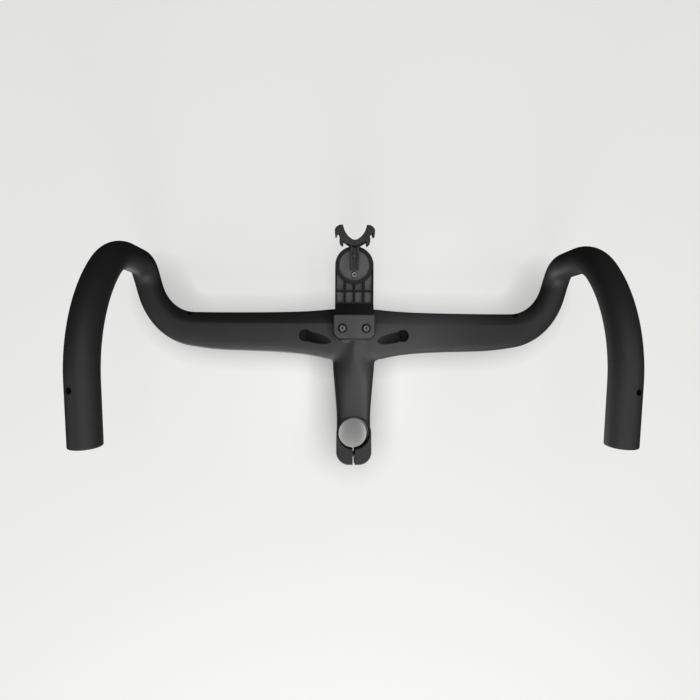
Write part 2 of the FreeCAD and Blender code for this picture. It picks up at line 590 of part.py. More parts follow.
# Strap cradle: post with two ribs under the head, saddle open to the front, two strap hooks on each side
post_under = arm_under - POST_THICK
post_start = HEAD_FORWARD - POST_BACK
arc = SADDLE_ROUND / 2.0
post_front = SADDLE_FORWARD - arc
post_long = post_front - post_start
corner = Vector(-POST_WIDTH / 2.0, post_start, post_under)
cradle = [Part.makeBox(POST_WIDTH, post_long, POST_THICK, corner)]
for left in (-POST_WIDTH / 2.0, POST_WIDTH / 2.0 - POST_RIB):
    corner = Vector(left, post_start, post_under - POST_RIB_DEEP)
    cradle.append(Part.makeBox(POST_RIB, post_long, POST_RIB_DEEP, corner))
screw_front = screw_places(arm_under)[1]
cradle.append(rod(BOSS_ROUND, screw_front, up, HEAD_RECESS))
centre = Vector(0, SADDLE_FORWARD, arm_under - CRADLE_DEEP)
right = [centre + Vector(arc + out, ahead, 0) for out, ahead in SADDLE_SIDE]
neck_out = POST_WIDTH / 2.0
right.append(centre + Vector(neck_out, -arc - 2.0 * POST_RIB, 0))
left = [Vector(-point.x, point.y, point.z) for point in reversed(right)]
inner_left = [centre + Vector(inward - arc, ahead, 0) for inward, ahead in SADDLE_INNER]
inner_right = [Vector(-point.x, point.y, point.z) for point in reversed(inner_left)]
bow = Part.BSplineCurve()
bow.interpolate(inner_left + [centre - Vector(0, arc, 0)] + inner_right)
outline = Part.makePolygon([inner_right[-1]] + right + left + [inner_left[0]])
cradle.append(Part.Face(Part.Wire([bow.toShape()] + outline.Edges)).extrude(up * CRADLE_DEEP))
strap_cradle = cradle[0].fuse(cradle[1:])
cradle_cuts = [rod(SCREW_SHANK + 2.0 * HOLE_PLAY, screw_front - up * CRADLE_DEEP, up, 2.0 * CRADLE_DEEP)]
cradle_cuts.append(rod(SCREW_HEAD + 2.0 * HOLE_PLAY, screw_places(post_under)[1], -up, CRADLE_DEEP))
strap_cradle = strap_cradle.cut(cradle_cuts).removeSplitter()

# Screws from below: the rear one under the floor, the front one under the post
insert_screws = []
for seat in (screw_places(floor_under)[0], screw_places(post_under)[1]):
    insert_screws.append(key_bolt(SCREW_SHANK, SCREW_LENGTH, SCREW_HEAD, SCREW_HEAD_HEIGHT, seat, up))

nodes = {
    "bar_stem": bar_stem,
    "clamp_bolts": Part.makeCompound(clamp_bolts),
    "clamp_nuts": Part.makeCompound(clamp_nuts),
    "mount_arm": lean(mount_arm),
    "mount_bolts": lean(Part.makeCompound(mount_bolts)),
    "mount_sleeves": lean(Part.makeCompound(mount_sleeves)),
    "turn_insert": lean(turn_insert),
    "insert_screws": lean(Part.makeCompound(insert_screws)),
    "strap_cradle": lean(strap_cradle),
}
os.makedirs("parts", exist_ok=True)
for name in nodes:
    nodes[name].exportStep("parts/" + name + ".step")
    print(name, len(nodes[name].Solids), nodes[name].isValid(), round(nodes[name].Volume))
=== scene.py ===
import math
import bpy
import numpy as np
from mathutils import Matrix, Vector


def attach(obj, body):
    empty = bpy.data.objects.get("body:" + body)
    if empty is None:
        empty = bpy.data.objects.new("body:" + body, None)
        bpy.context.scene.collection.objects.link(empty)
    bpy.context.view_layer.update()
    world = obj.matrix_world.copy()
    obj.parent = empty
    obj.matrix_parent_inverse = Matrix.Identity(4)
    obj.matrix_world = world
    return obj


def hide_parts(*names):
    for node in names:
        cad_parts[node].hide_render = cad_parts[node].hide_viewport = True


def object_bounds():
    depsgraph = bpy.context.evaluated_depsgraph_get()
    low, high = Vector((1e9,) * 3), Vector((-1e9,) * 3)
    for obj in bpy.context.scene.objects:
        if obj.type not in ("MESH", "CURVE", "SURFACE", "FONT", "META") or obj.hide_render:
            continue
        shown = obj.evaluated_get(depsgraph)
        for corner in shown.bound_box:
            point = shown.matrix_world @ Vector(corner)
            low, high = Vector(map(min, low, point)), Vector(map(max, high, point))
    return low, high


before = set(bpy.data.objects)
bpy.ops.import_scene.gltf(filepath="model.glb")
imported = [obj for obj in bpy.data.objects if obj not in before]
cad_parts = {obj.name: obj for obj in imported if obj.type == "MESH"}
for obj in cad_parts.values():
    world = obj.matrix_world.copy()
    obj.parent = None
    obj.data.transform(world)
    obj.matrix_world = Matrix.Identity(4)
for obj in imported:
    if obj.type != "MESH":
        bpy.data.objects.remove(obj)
cadBounds = [list(corner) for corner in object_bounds()]
mm = 0.001
leanAngle = math.radians(10.0)  # the tops fall forward by this much from square to the steerer
creaseAngle = math.radians(32.0)  # edges sharper than this stay crisp
edgeSteps = 7  # points over a rounded edge
print("frame loaded")


# shared shape tools: sizes in millimetres, tops level until leaned

def lean(points):
    # turn about X from level tops to the steerer upright
    c, s = math.cos(leanAngle), math.sin(leanAngle)
    x, y, z = points[..., 0], points[..., 1], points[..., 2]
    return np.stack([x, y * c + z * s, z * c - y * s], axis=-1)


def leanVector(x, y, z):
    return lean(np.array([x, y, z], float))


def unit(vectors):
    return vectors / np.linalg.norm(vectors, axis=-1, keepdims=True)


def smoothStep(value, start, end):
    share = np.clip((value - start) / (end - start), 0.0, 1.0)
    return share * share * (3.0 - 2.0 * share)


def gridFaces(rows, around):
    # quads between neighbouring rows of a grid that closes on itself across the rows
    r, c = np.meshgrid(np.arange(rows - 1), np.arange(around), indexing="ij")
    n = (c + 1) % around
    quads = [r * around + c, r * around + n, (r + 1) * around + n, (r + 1) * around + c]
    return np.stack(quads, axis=-1).reshape(-1, 4)


def makeObject(name, points, faces):
    mesh = bpy.data.meshes.new(name)
    mesh.from_pydata((points * mm).tolist(), [], faces)
    mesh.update()
    piece = bpy.data.objects.new(name, mesh)
    bpy.context.scene.collection.objects.link(piece)
    return piece


def tubeObject(name, grid):
    # closed body from a grid of rings, flat faces over both ends
    rows, around = grid.shape[:2]
    faces = gridFaces(rows, around).tolist()
    faces.append(list(range(around))[::-1])
    faces.append(list(range((rows - 1) * around, rows * around)))
    return makeObject(name, grid.reshape(-1, 3), faces)


def rodObject(name, start, axis, profile, around=96):
    # turned body: each profile pair is a distance along the axis and a radius
    axis = unit(np.array(axis, float))
    side = unit(np.cross(axis, [0.0, 1.0, 0.0] if abs(axis[1]) < 0.9 else [1.0, 0.0, 0.0]))
    other = np.cross(axis, side)
    angle = np.linspace(0.0, 2.0 * math.pi, around, endpoint=False)
    ring = np.cos(angle)[:, None] * side + np.sin(angle)[:, None] * other
    profile = np.array(profile, float)
    grid = np.array(start, float) + profile[:, :1, None] * axis + profile[:, 1:, None] * ring[None]
    return tubeObject(name, grid)


def drillObject(name, start, axis, low, high, width, around):
    # plain round cutter between two distances along its axis
    return rodObject(name, start, axis, [(low, width / 2), (high, width / 2)], around)


def boxObject(name, low, high):
    x, y, z = np.meshgrid(*np.array([low, high], float).T, indexing="ij")
    corners = np.stack([x, y, z], axis=-1).reshape(-1, 3)
    faces = [[0, 1, 3, 2], [4, 6, 7, 5], [0, 4, 5, 1], [2, 3, 7, 6], [0, 2, 6, 4], [1, 5, 7, 3]]
    return makeObject(name, corners, faces)


def clampedBasis(controls, samples):
    # weights of each control row at even steps along a clamped cubic spline
    knots = np.concatenate([[0.0] * 3, np.arange(controls - 2), [controls - 3.0] * 3])
    t = np.linspace(0.0, controls - 3.0, samples)
    t[-1] -= 1e-9  # keeps the last step inside the last span
    basis = ((t[:, None] >= knots[None, :-1]) & (t[:, None] < knots[None, 1:])).astype(float)
    for degree in (1, 2, 3):
        before = knots[degree:-1] - knots[:-degree - 1]
        left = (t[:, None] - knots[None, :-degree - 1]) / np.where(before > 0, before, np.inf)
        after = knots[degree + 1:] - knots[1:-degree]
        right = (knots[None, degree + 1:] - t[:, None]) / np.where(after > 0, after, np.inf)
        basis = left * basis[:, :-1] + right * basis[:, 1:]
    return basis


def roundBasis(controls, samples):
    # weights of each control point at even steps round a closed cubic spline
    t = np.arange(samples) * controls / samples
    i = np.floor(t).astype(int)
    f = t - i
    parts = [(1 - f) ** 3, 3 * f ** 3 - 6 * f ** 2 + 4, -3 * f ** 3 + 3 * f ** 2 + 3 * f + 1, f ** 3]
    basis = np.zeros((samples, controls))
    for step, part in enumerate(parts):
        basis[np.arange(samples), (i + step - 1) % controls] += part / 6
    return basis


def skinGrid(rings, rows, around):
    # cubic skin over control rings, each ring swollen so that a round one keeps its radius
    swell = 3.0 / (2.0 + math.cos(2.0 * math.pi / rings.shape[1]))
    centre = rings.mean(axis=1, keepdims=True)
    poles = centre + (rings - centre) * swell
    along, across = clampedBasis(rings.shape[0], rows), roundBasis(rings.shape[1], around)
    return np.einsum("ai,bj,ijk->abk", along, across, poles)


def oval(front, rear, top, bottom, powers, points):
    # four quarter ovals in one outline; powers are front top, rear top, rear bottom, front bottom
    angle = 2.0 * math.pi * np.arange(points) / points
    c, s = np.cos(angle)[None], np.sin(angle)[None]
    power = 2.0 / powers[:, 4 * np.arange(points) // points]
    a = np.where(c >= -1e-12, front[:, None], rear[:, None]) * np.sign(c) * np.abs(c) ** power
    b = np.where(s >= 0.0, top[:, None], bottom[:, None]) * np.sign(s) * np.abs(s) ** power
    return a, b


def joined(name, base, others, operation):
    # the base with the other bodies added to it or taken out of it
    group = bpy.data.collections.new(name + "Parts")
    for other in others:
        group.objects.link(other)
    step = base.modifiers.new("join", "BOOLEAN")
    step.operation = operation
    step.solver = "EXACT"
    step.operand_type = "COLLECTION"
    step.collection = group
    step.material_mode = "TRANSFER"
    view = bpy.context.evaluated_depsgraph_get()
    mesh = bpy.data.meshes.new_from_object(base.evaluated_get(view))
    mesh.name = name
    for other in others + [base]:
        bpy.data.objects.remove(other)
    bpy.data.collections.remove(group)
    piece = bpy.data.objects.new(name, mesh)
    bpy.context.scene.collection.objects.link(piece)
    return piece


def meshPoints(mesh):
    points = np.empty(len(mesh.vertices) * 3)
    mesh.vertices.foreach_get("co", points)
    return points.reshape(-1, 3)


def marked(piece, name):
    # a plain material that tells later which body a face came from
    piece.data.materials.append(bpy.data.materials.new(name))
    return piece


def smoothed(piece):
    piece.data.shade_smooth()
    piece.data.set_sharp_from_angle(angle=creaseAngle)


# bar: flat tops that turn into round hooks

bar = {
    "width": 399.0, "forward": 106.7, "level": -3.0, "halfDepth": 11.0, "middleRise": 2.5,
    "lead": 11.3, "leadMiddle": 15.4, "trail": 25.5, "trailMiddle": 35.5, "taperRun": 28.0,
    "powers": (2.2, 2.0, 2.9, 1.3), "straightShare": 0.8, "middleWidth": 41.5,
    "bendStart": 155.0, "bendForward": 49.0, "roundRun": 63.0, "grip": 23.8,
    "reachFront": 162.7, "hookUpper": 22.5, "hookDepth": 45.0, "hookFront": 54.0, "hookFrontTurn": 45.0,
    "hookRear": 111.0, "dropTurn": 95.5, "dropEnd": 10.6, "rim": 0.7, "rimSteps": 5,
    # control rings: shares of the straight run, count round the bend, last one past the bend's end
    "ringShares": (0.0, 0.07, 0.13, 0.19, 0.26, 0.36, 0.5, 0.7, 0.85, 1.0), "bendRings": 14, "overrun": 0.6,
    "ringPoints": 48, "topsRows": 321, "around": 96,
    "hookSteps": (28, 12, 30, 50, 26),  # rows over the ramp, straight, front arc, rear arc and drop
}
# bore for the plug in each drop's end: distances from the end, and what the radius loses past the plug
plugBore = {
    "round": 20.0, "lip": 0.5, "leadIn": 3.0, "deep": 26.0, "step": 0.5, "hollow": 48.0, "bottom": 56.0,
    "taper": 1.5,
}


def rampSlope(forward, b):
    # angle by which the hook's upper arc has dipped at a place that far forward
    return np.arcsin(np.clip((forward - b["reachFront"] + b["hookUpper"]) / b["hookUpper"], 0.0, 1.0))


def topsRings(b):
    # control rings: the crease line runs out level, then along a quarter ellipse that dips like the hook
    shares = np.array(b["ringShares"])
    flat = np.stack([shares * b["bendStart"], 0 * shares + b["forward"], 0 * shares + b["level"]], axis=-1)
    angle = np.radians(90.0) * np.arange(1, b["bendRings"] + 1) / b["bendRings"]
    side = b["width"] / 2 - b["bendStart"]
    y = b["forward"] + b["bendForward"] * (1 - np.cos(angle))
    slope = rampSlope(y, b)
    z = b["level"] - b["hookUpper"] * (1 - np.cos(slope))
    bend = np.stack([b["bendStart"] + side * np.sin(angle), y, z], axis=-1)
    ahead = b["bendForward"] * np.sin(angle)
    turn = unit(np.stack([side * np.cos(angle), ahead, -ahead * np.tan(slope)], axis=-1))
    line = np.concatenate([flat, bend, bend[-1:] + b["overrun"] * turn[-1:]])
    heading = np.concatenate([np.tile([[1.0, 0.0, 0.0]], (len(flat), 1)), turn, turn[-1:]])
    across = unit(np.stack([-heading[:, 1], heading[:, 0], 0 * heading[:, 0]], axis=-1))
    upward = np.cross(heading, across)
    # sections: deeper in the middle, round by the end of the bend
    run = np.concatenate([[0.0], np.cumsum(np.linalg.norm(np.diff(line, axis=0), axis=1))])
    toRound = smoothStep(run, b["straightShare"] * b["bendStart"], b["bendStart"] + b["roundRun"])
    swell = np.exp(-np.maximum(run - b["middleWidth"] / 2, 0.0) / b["taperRun"])
    sizes = [b["lead"] + (b["leadMiddle"] - b["lead"]) * swell,
             b["trail"] + (b["trailMiddle"] - b["trail"]) * swell,
             b["halfDepth"] + b["middleRise"] * swell,
             b["halfDepth"] + 0 * swell]
    sizes = [size + (b["grip"] / 2 - size) * toRound for size in sizes]
    powers = np.array(b["powers"]) + (2.0 - np.array(b["powers"])) * toRound[:, None]
    p, q = oval(*sizes, powers, b["ringPoints"])
    half = line[:, None] + p[..., None] * across[:, None] + q[..., None] * upward[:, None]
    return np.concatenate([half[:0:-1] * [-1.0, 1.0, 1.0], half])


def hookPath(b):
    # ramp, hook and drop: arcs and straights whose heading turns steadily; gives places and headings
    upperSteps, straightSteps, frontSteps, rearSteps, dropSteps = b["hookSteps"]
    slope = rampSlope(b["forward"] + b["bendForward"], b)
    turn, last = math.radians(b["hookFrontTurn"]), math.radians(b["dropTurn"])
    top = np.array([b["reachFront"] - b["hookUpper"], b["level"] - b["hookUpper"]])
    low = np.array([b["reachFront"], b["level"] - b["hookDepth"]])
    a = np.linspace(slope, math.pi / 2, upperSteps)
    upper = top + b["hookUpper"] * np.stack([np.sin(a), np.cos(a)], axis=-1)
    straight = np.linspace(upper[-1], low, straightSteps)[1:]
    f = np.linspace(0.0, turn, frontSteps)[1:]
    frontCentre = low - [b["hookFront"], 0.0]
    front = frontCentre + b["hookFront"] * np.stack([np.cos(f), -np.sin(f)], axis=-1)
    g = np.linspace(turn, last, rearSteps)[1:]
    rearCentre = front[-1] - b["hookRear"] * np.array([math.cos(turn), -math.sin(turn)])
    rear = rearCentre + b["hookRear"] * np.stack([np.cos(g), -np.sin(g)], axis=-1)
    tail = np.array([-math.sin(last), -math.cos(last)])
    end = rear[-1] + tail * (rear[-1, 0] - b["dropEnd"]) / math.sin(last)
    drop = np.linspace(rear[-1], end - tail * b["rim"], dropSteps)[1:]
    heading = np.concatenate([a, 0 * straight[:, 0] + math.pi / 2, math.pi / 2 + f, math.pi / 2 + g,
                              0 * drop[:, 0] + math.pi / 2 + last])
    return np.concatenate([upper, straight, front, rear, drop]), heading, end, tail


def dropEndProfile(b, p):
    # setback from the drop's end and radius: rounded rim, rounded lip, plug's seat, hollow
    rim, lip, bore = b["rim"], p["lip"], p["round"] / 2
    bow = math.pi / 2 * np.arange(1, b["rimSteps"] + 1) / b["rimSteps"]
    outer = np.stack([rim * (1 - np.sin(bow)), b["grip"] / 2 - rim * (1 - np.cos(bow))], axis=-1)
    inner = np.stack([lip * (1 - np.cos(bow)), bore + lip * (1 - np.sin(bow))], axis=-1)
    inside = np.array([[p["leadIn"], bore], [p["deep"], bore], [p["deep"], bore - p["step"]],
                       [p["hollow"], bore - p["step"]], [p["bottom"], bore - p["taper"]]])
    return np.concatenate([outer, [[0.0, bore + lip]], inner, inside])


def barGrid(b, p):
    # rings of the left hook, the tops and the right hook in one grid
    tops = skinGrid(topsRings(b), b["topsRows"], b["around"])
    angle = np.linspace(0.0, 2 * math.pi, b["around"], endpoint=False)
    places, heading, end, tail = hookPath(b)
    ends = dropEndProfile(b, p)
    radius = np.concatenate([np.full(len(places), b["grip"] / 2), ends[:, 1]])
    places = np.concatenate([places, end - ends[:, :1] * tail])
    heading = np.concatenate([heading, np.full(len(ends), heading[-1])])
    up = np.stack([0 * heading, np.sin(heading), np.cos(heading)], axis=-1)
    centre = np.concatenate([np.full((len(places), 1), b["width"] / 2), places], axis=1)
    sideways = np.stack([-np.cos(angle), 0 * angle, 0 * angle], axis=-1)
    ring = sideways[None] + np.sin(angle)[None, :, None] * up[:, None]
    hook = centre[:, None] + radius[:, None, None] * ring
    mirror = np.array([-1.0, 1.0, 1.0])
    return np.concatenate([(hook * mirror)[:1:-1], tops[1:-1], hook[2:]])


# steerer clamp, steerer upright

clamp = {
    "bore": 28.6, "wall": 2.2, "height": 44.0, "corner": 12.0, "edge": 1.4, "rear": 29.3, "bevel": 1.2,
    "slot": 2.2, "slotFront": -1.0, "boltBack": 20.0, "boltPitch": 22.0, "shankHole": 5.5, "headHole": 9.0,
    "nutHole": 8.5, "headSeat": 8.0, "nutSeat": 7.0,
    "frontSteps": 61, "cornerSteps": 25, "boltAround": 64,
    "past": 60.0, "boltPast": 40.0, "over": 0.5,  # how far the cutters reach beyond the body
}


def roundedPrism(name, outline, normal, low, high, edge, turned=False):
    # outline pulled in along its normals over a quarter round at each flat end
    bow = np.linspace(0.0, math.pi / 2, edgeSteps)
    inset = np.concatenate([edge * (1 - np.sin(bow)), edge * (1 - np.cos(bow))])
    level = np.concatenate([low + edge * (1 - np.cos(bow)), high - edge * (1 - np.sin(bow))])
    plan = outline[None] - inset[:, None, None] * normal[None]
    heights = np.broadcast_to(level[:, None, None], plan.shape[:2] + (1,))
    grid = np.concatenate([plan, heights], axis=-1)
    return tubeObject(name, lean(grid) if turned else grid)


def arcOutline(arcs):
    # outline of arcs joined by straights: start and end angle, steps, centre and radius of each
    angles = np.concatenate([np.linspace(*arc[:3]) for arc in arcs])
    normal = np.stack([np.cos(angles), np.sin(angles)], axis=-1)
    base = np.concatenate([np.tile((*centre, radius), (steps, 1)) for *ends, steps, centre, radius in arcs])
    return base[:, :2] + base[:, 2:] * normal, normal


def clampOutline(k):
    # half round in front, straight sides, two rounded rear corners
    half, r = k["bore"] / 2 + k["wall"], k["corner"]
    steps = k["cornerSteps"]
    return arcOutline([
        (0.0, math.pi, k["frontSteps"], (0.0, 0.0), half),
        (math.pi, 1.5 * math.pi, steps, (r - half, r - k["rear"]), r),
        (1.5 * math.pi, 2 * math.pi, steps, (half - r, r - k["rear"]), r),
    ])


def clampCutters(k):
    # bore with a bevelled lower mouth, slot at the rear, stepped holes for the bolts and nuts
    half, radius, past = k["height"] / 2, k["bore"] / 2, k["past"]
    mouth = radius + k["bevel"] + k["over"]
    bore = [(-past, mouth), (-half - k["over"], mouth), (k["bevel"] - half, radius), (past, radius)]
    slot = k["slot"] / 2
    cutters = [rodObject("boreCut", (0, 0, 0), (0, 0, 1), bore),
               boxObject("slotCut", (-slot, -past, -past), (slot, k["slotFront"], past))]
    shank, head, nut = k["shankHole"] / 2, k["headHole"] / 2, k["nutHole"] / 2
    profile = [(-k["boltPast"], nut), (-k["nutSeat"], nut), (-k["nutSeat"], shank),
               (k["headSeat"], shank), (k["headSeat"], head), (k["boltPast"], head)]
    for level in (-k["boltPitch"] / 2, k["boltPitch"] / 2):
        cutters.append(rodObject("boltCut", (0, -k["boltBack"], level), (1, 0, 0), profile, k["boltAround"]))
    return cutters


# stem between the clamp and the bar, steerer upright

stem = {
    "wall": 5.0, "shy": 0.3, "keel": 2.0, "clampPower": 5.0, "keelPower": 1.4, "topPower": 3.4,
    # control rings: shares of the clamp's front, of the way to the bar, and of the bar's depth
    "clampRings": (-0.3, -0.1, 0.3, 0.6, 1.0), "neckRings": (0.35, 0.6, 0.8, 1.0), "easeRun": 1.1,
    "innerRings": (0.35, 0.7), "innerFall": 2.0, "ringPoints": 48, "rows": 140, "around": 120,
}


def stemGrid(s, b, k):
    # control rings from inside the clamp to inside the bar, squarer at the clamp and keeled below at the bar
    rearEdge = b["forward"] - b["trailMiddle"]
    barTop = b["level"] + b["halfDepth"] + b["middleRise"]
    under = b["level"] - b["halfDepth"] - s["keel"]
    clampFront = k["bore"] / 2 + s["wall"]
    half = k["height"] / 2 - s["shy"]
    width = k["bore"] + 2 * k["wall"] - 2 * s["shy"]
    c, n = math.cos(leanAngle), math.sin(leanAngle)
    # each row: forward, tilt, top, underside, width, power of the lower half
    square = [0.0, half, -half, width, s["clampPower"]]
    rows = [np.array([share * clampFront, *square]) for share in s["clampRings"]]
    jointTop, jointUnder = barTop * c - rearEdge * n, under * c - rearEdge * n
    for share in s["neckRings"]:
        ease = float(smoothStep(share, 0.0, s["easeRun"]))
        rows.append(np.array([
            clampFront + (rearEdge * c - clampFront) * share, share * leanAngle,
            half + (jointTop - half) * ease, -half + (jointUnder + half) * ease,
            width + (b["middleWidth"] - width) * share,
            s["clampPower"] + (s["keelPower"] - s["clampPower"]) * share]))
    joint = rows[-1]
    for step in s["innerRings"]:
        run = step * b["trailMiddle"]
        rows.append(joint + np.array([run * c, 0.0, -run * n - s["innerFall"] * step, -run * n, 0.0, 0.0]))
    y, tilt, top, low, width, power = np.array(rows).T
    depth, middle = (top - low) / 2, (top + low) / 2
    powers = np.stack([0 * power + s["topPower"], 0 * power + s["topPower"], power, power], axis=-1)
    p, q = oval(width / 2, width / 2, depth, depth, powers, s["ringPoints"])
    rings = np.stack([p, y[:, None] + q * np.sin(tilt)[:, None], middle[:, None] + q * np.cos(tilt)[:, None]],
                     axis=-1)
    return skinGrid(rings, s["rows"], s["around"])[:, ::-1]


# hose ports, hose entries and the small holes in the drops, tops level

holes = {
    "under": -14.0, "portRound": 10.0, "portOut": 37.5, "portForward": 93.4, "portTilt": 16.5,
    "portTurn": 14.0, "portBack": -20.0, "portDeep": 10.0, "portAround": 72,
    "seatRound": 11.6, "seatOut": 46.6, "seatForward": 95.8, "seatTilt": 16.0, "seatBack": -9.0,
    "seatDeep": 5.6, "dimple": 1.6, "dimpleDeep": 1.2,
    "entryRound": 5.6, "entryOut": 158.0, "entryForward": 110.6, "entryLevel": -3.0, "entryTilt": 35.0,
    "tailRound": 5.3, "tailBack": 43.0, "tailTurn": 20.0, "tailStart": 6.0, "holeEnd": 24.0, "holeAround": 48,
}


def portCutters(h, side):
    # slanted trough of the port, and the round seat with its dimple at the outer end
    tilt, turn = math.radians(h["portTilt"]), math.radians(h["portTurn"])
    run = math.cos(tilt)
    axis = leanVector(side * run * math.cos(turn), run * math.sin(turn), math.sin(tilt))
    start = leanVector(side * h["portOut"], h["portForward"], h["under"])
    port = drillObject("portCut", start, axis, h["portBack"], h["portDeep"], h["portRound"], h["portAround"])
    tilt = math.radians(h["seatTilt"])
    axis = leanVector(side * math.sin(tilt), 0.0, math.cos(tilt))
    start = leanVector(side * h["seatOut"], h["seatForward"], h["under"])
    r, d, deep = h["seatRound"] / 2, h["dimple"] / 2, h["seatDeep"]
    profile = [(h["seatBack"], r), (deep, r), (deep, d), (deep + h["dimpleDeep"], d)]
    return [port, rodObject("seatCut", start, axis, profile, h["portAround"])]


def holeCutters(h, b):
    cutters = []
    end, tail = hookPath(b)[2:]
    spot = end - tail * h["tailBack"]
    around = h["holeAround"]
    for side in (1.0, -1.0):
        cutters += portCutters(h, side)
        dip = math.radians(h["entryTilt"])
        axis = leanVector(0.0, math.cos(dip), -math.sin(dip))
        start = leanVector(side * h["entryOut"], h["entryForward"], h["entryLevel"])
        cutters.append(drillObject("entryCut", start, axis, 0.0, h["holeEnd"], h["entryRound"], around))
        turn = math.radians(h["tailTurn"])
        axis = leanVector(side * math.sin(turn), -tail[1] * math.cos(turn), tail[0] * math.cos(turn))
        start = leanVector(side * b["width"] / 2, spot[0], spot[1])
        tailHole = (h["tailStart"], h["holeEnd"], h["tailRound"], around)
        cutters.append(drillObject("tailCut", start, axis, *tailHole))
    return cutters


# seat under the bar for the mount's foot, tops level

pad = {
    "width": 39.6, "back": 92.0, "front": 114.6, "corner": 10.0, "tight": 0.5, "low": -17.0, "high": -9.0,
    "edge": 0.3, "rearSteps": 21, "frontSteps": 9,
    "pitch": 22.5, "sleeveForward": 102.5, "sleeveHole": 6.3, "sleeveDeep": 8.0, "sleevePast": 1.0,
    "sleeveAround": 48,
}


def padOutline(p):
    # large round corners at the rear, tight ones in front
    half, r, t = p["width"] / 2, p["corner"], p["tight"]
    rear, front = p["back"] + r, p["front"] - t
    return arcOutline([
        (math.pi, 1.5 * math.pi, p["rearSteps"], (r - half, rear), r),
        (1.5 * math.pi, 2 * math.pi, p["rearSteps"], (half - r, rear), r),
        (0.0, math.pi / 2, p["frontSteps"], (half - t, front), t),
        (math.pi / 2, math.pi, p["frontSteps"], (t - half, front), t),
    ])


def sleeveCutters(p):
    cutters = []
    for side in (-0.5, 0.5):
        start = leanVector(side * p["pitch"], p["sleeveForward"], p["low"] - p["sleevePast"])
        cutters.append(drillObject("sleeveCut", start, leanVector(0, 0, 1), 0.0, p["sleeveDeep"],
                                   p["sleeveHole"], p["sleeveAround"]))
    return cutters


# the one-piece bar and stem: bodies joined, joint eased, holes cut

blendJoint = {"reach": 8.0, "rounds": 60, "rate": 0.5, "batches": 40}


def jointLine(mesh):
    # which points lie where a face of the bar meets a face of the stem
    names = [material.name if material else "" for material in mesh.materials]
    bits = [1 if name.startswith("barMark") else 2 if name.startswith("stemMark") else 4 for name in names]
    kind = np.empty(len(mesh.polygons), dtype=np.int32)
    mesh.polygons.foreach_get("material_index", kind)
    counts = np.empty(len(mesh.polygons), dtype=np.int32)
    mesh.polygons.foreach_get("loop_total", counts)
    corners = np.empty(len(mesh.loops), dtype=np.int32)
    mesh.loops.foreach_get("vertex_index", corners)
    touched = np.zeros(len(mesh.vertices), dtype=np.int32)
    np.bitwise_or.at(touched, corners, np.repeat(np.array(bits)[kind], counts))
    return (touched & 3) == 3


def easeJoint(piece, reach, rounds, rate, batches):
    # points near the joint move towards the mean of their neighbours, less with distance from it
    mesh = piece.data
    points = meshPoints(mesh)
    line = points[jointLine(mesh)]
    low, high = line.min(axis=0) - reach * mm, line.max(axis=0) + reach * mm
    near = np.where(np.all((points > low) & (points < high), axis=1))[0]
    gap = np.full(len(points), np.inf)
    for part in np.array_split(near, batches):
        gap[part] = np.sqrt(((points[part, None] - line[None]) ** 2).sum(axis=-1)).min(axis=1)
    weight = smoothStep(1.0 - gap / (reach * mm), 0.0, 1.0)
    edges = np.empty(len(mesh.edges) * 2, dtype=np.int32)
    mesh.edges.foreach_get("vertices", edges)
    edges = edges.reshape(-1, 2)
    edges = edges[(weight[edges] > 0.0).any(axis=1)]
    count = np.bincount(edges.ravel(), minlength=len(points)).astype(float)
    for step in range(rounds):
        total = np.zeros_like(points)
        np.add.at(total, edges[:, 0], points[edges[:, 1]])
        np.add.at(total, edges[:, 1], points[edges[:, 0]])
        mean = total / np.maximum(count, 1.0)[:, None]
        points = points + (rate * weight * (count > 0))[:, None] * (mean - points)
    mesh.vertices.foreach_set("co", points.ravel())
    mesh.update()


def shadeHoleWalls(mesh):
    # hole walls take the second material, painted darker as the shade inside the holes
    dark = [material is not None and material.name.startswith("holeMark") for material in mesh.materials]
    kinds = np.empty(len(mesh.polygons), dtype=np.int32)
    mesh.polygons.foreach_get("material_index", kinds)
    mesh.materials.clear()
    mesh.polygons.foreach_set("material_index", np.array(dark, dtype=np.int32)[kinds])


def buildBarStem():
    body = marked(tubeObject("barBody", lean(barGrid(bar, plugBore))), "barMark")
    neck = marked(tubeObject("stemBody", stemGrid(stem, bar, clamp)), "stemMark")
    half = clamp["height"] / 2
    block = marked(roundedPrism("clampBody", *clampOutline(clamp), -half, half, clamp["edge"]), "clampMark")
    seat = roundedPrism("padBody", *padOutline(pad), pad["low"], pad["high"], pad["edge"], True)
    whole = joined("barStem", body, [neck, block, marked(seat, "padMark")], "UNION")
    print("bar and stem joined", len(whole.data.polygons))
    easeJoint(whole, **blendJoint)
    cutters = clampCutters(clamp) + holeCutters(holes, bar) + sleeveCutters(pad)
    for cutter in cutters:
        marked(cutter, "holeMark")
    whole = joined("barStem", whole, cutters, "DIFFERENCE")
    print("holes cut", len(whole.data.polygons))
    shadeHoleWalls(whole.data)
    smoothed(whole)
    return whole


barStem = buildBarStem()
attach(barStem, "root")
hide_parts("bar_stem")
